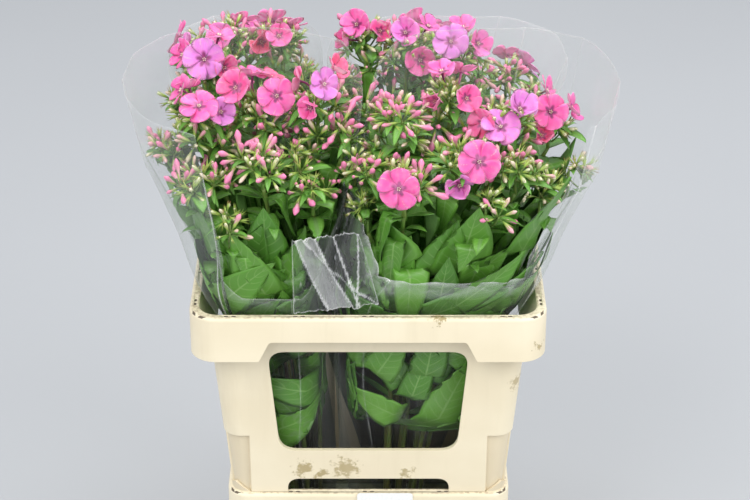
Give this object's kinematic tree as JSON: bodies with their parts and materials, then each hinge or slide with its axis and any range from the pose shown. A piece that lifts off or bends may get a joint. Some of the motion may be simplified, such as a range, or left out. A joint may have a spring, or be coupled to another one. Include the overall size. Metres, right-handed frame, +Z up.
{
  "type": "sleeved cut phlox in a bucket with collar",
  "caption": "Cut phlox in clear film sleeves, standing in water in a tapered cream bucket that carries a windowed collar.",
  "frame": {"origin": "middle of the bucket's underside, on the surface it stands on", "axes": "+Z up the standing plants, -Y towards the front, +X to the right seen from the front"},
  "size_m": [0.4512, 0.4658, 0.6867],
  "materials": {
    "cream_plastic": "cream injection-moulded polypropylene, satin, with grime along the rim",
    "water": "clear water with a faint green tint",
    "card": "blank white card",
    "clear_film": "clear crinkled polypropylene film",
    "leaf_green": "living leaf, satin, with a pale midrib and veins",
    "flower_pink": "soft matte petals, pink to lilac and coral, with a dark eye"
  },
  "bodies": {
    "root": {"bucket": "cream_plastic", "collar": "cream_plastic", "water": "water", "card": "card", "sleeve_1": "clear_film", "sleeve_2": "clear_film", "sleeve_3": "clear_film", "sleeve_4": "clear_film", "stem_01": "leaf_green", "stem_02": "leaf_green", "stem_03": "leaf_green", "stem_04": "leaf_green", "stem_05": "leaf_green", "stem_06": "leaf_green", "stem_07": "leaf_green", "stem_08": "leaf_green", "stem_09": "leaf_green", "stem_10": "leaf_green", "stem_11": "leaf_green", "stem_12": "leaf_green", "stem_13": "leaf_green", "stem_14": "leaf_green", "stem_15": "leaf_green", "stem_16": "leaf_green", "stem_17": "leaf_green", "stem_18": "leaf_green", "stem_19": "leaf_green", "stem_20": "leaf_green", "stem_21": "leaf_green", "stem_22": "leaf_green", "stem_23": "leaf_green", "stem_24": "leaf_green", "stem_25": "leaf_green", "stem_26": "leaf_green", "head_01": "flower_pink", "head_02": "flower_pink", "head_03": "flower_pink", "head_04": "flower_pink", "head_05": "flower_pink", "head_06": "flower_pink", "head_07": "flower_pink", "head_08": "flower_pink", "head_09": "flower_pink", "head_10": "flower_pink", "head_11": "flower_pink", "head_12": "flower_pink", "head_13": "flower_pink", "head_14": "flower_pink", "head_15": "flower_pink", "head_16": "flower_pink", "head_17": "flower_pink", "head_18": "flower_pink", "head_19": "flower_pink", "head_20": "flower_pink", "head_21": "flower_pink", "head_22": "flower_pink", "head_23": "flower_pink", "head_24": "flower_pink", "head_25": "flower_pink", "head_26": "flower_pink"}
  },
  "joints": []
}
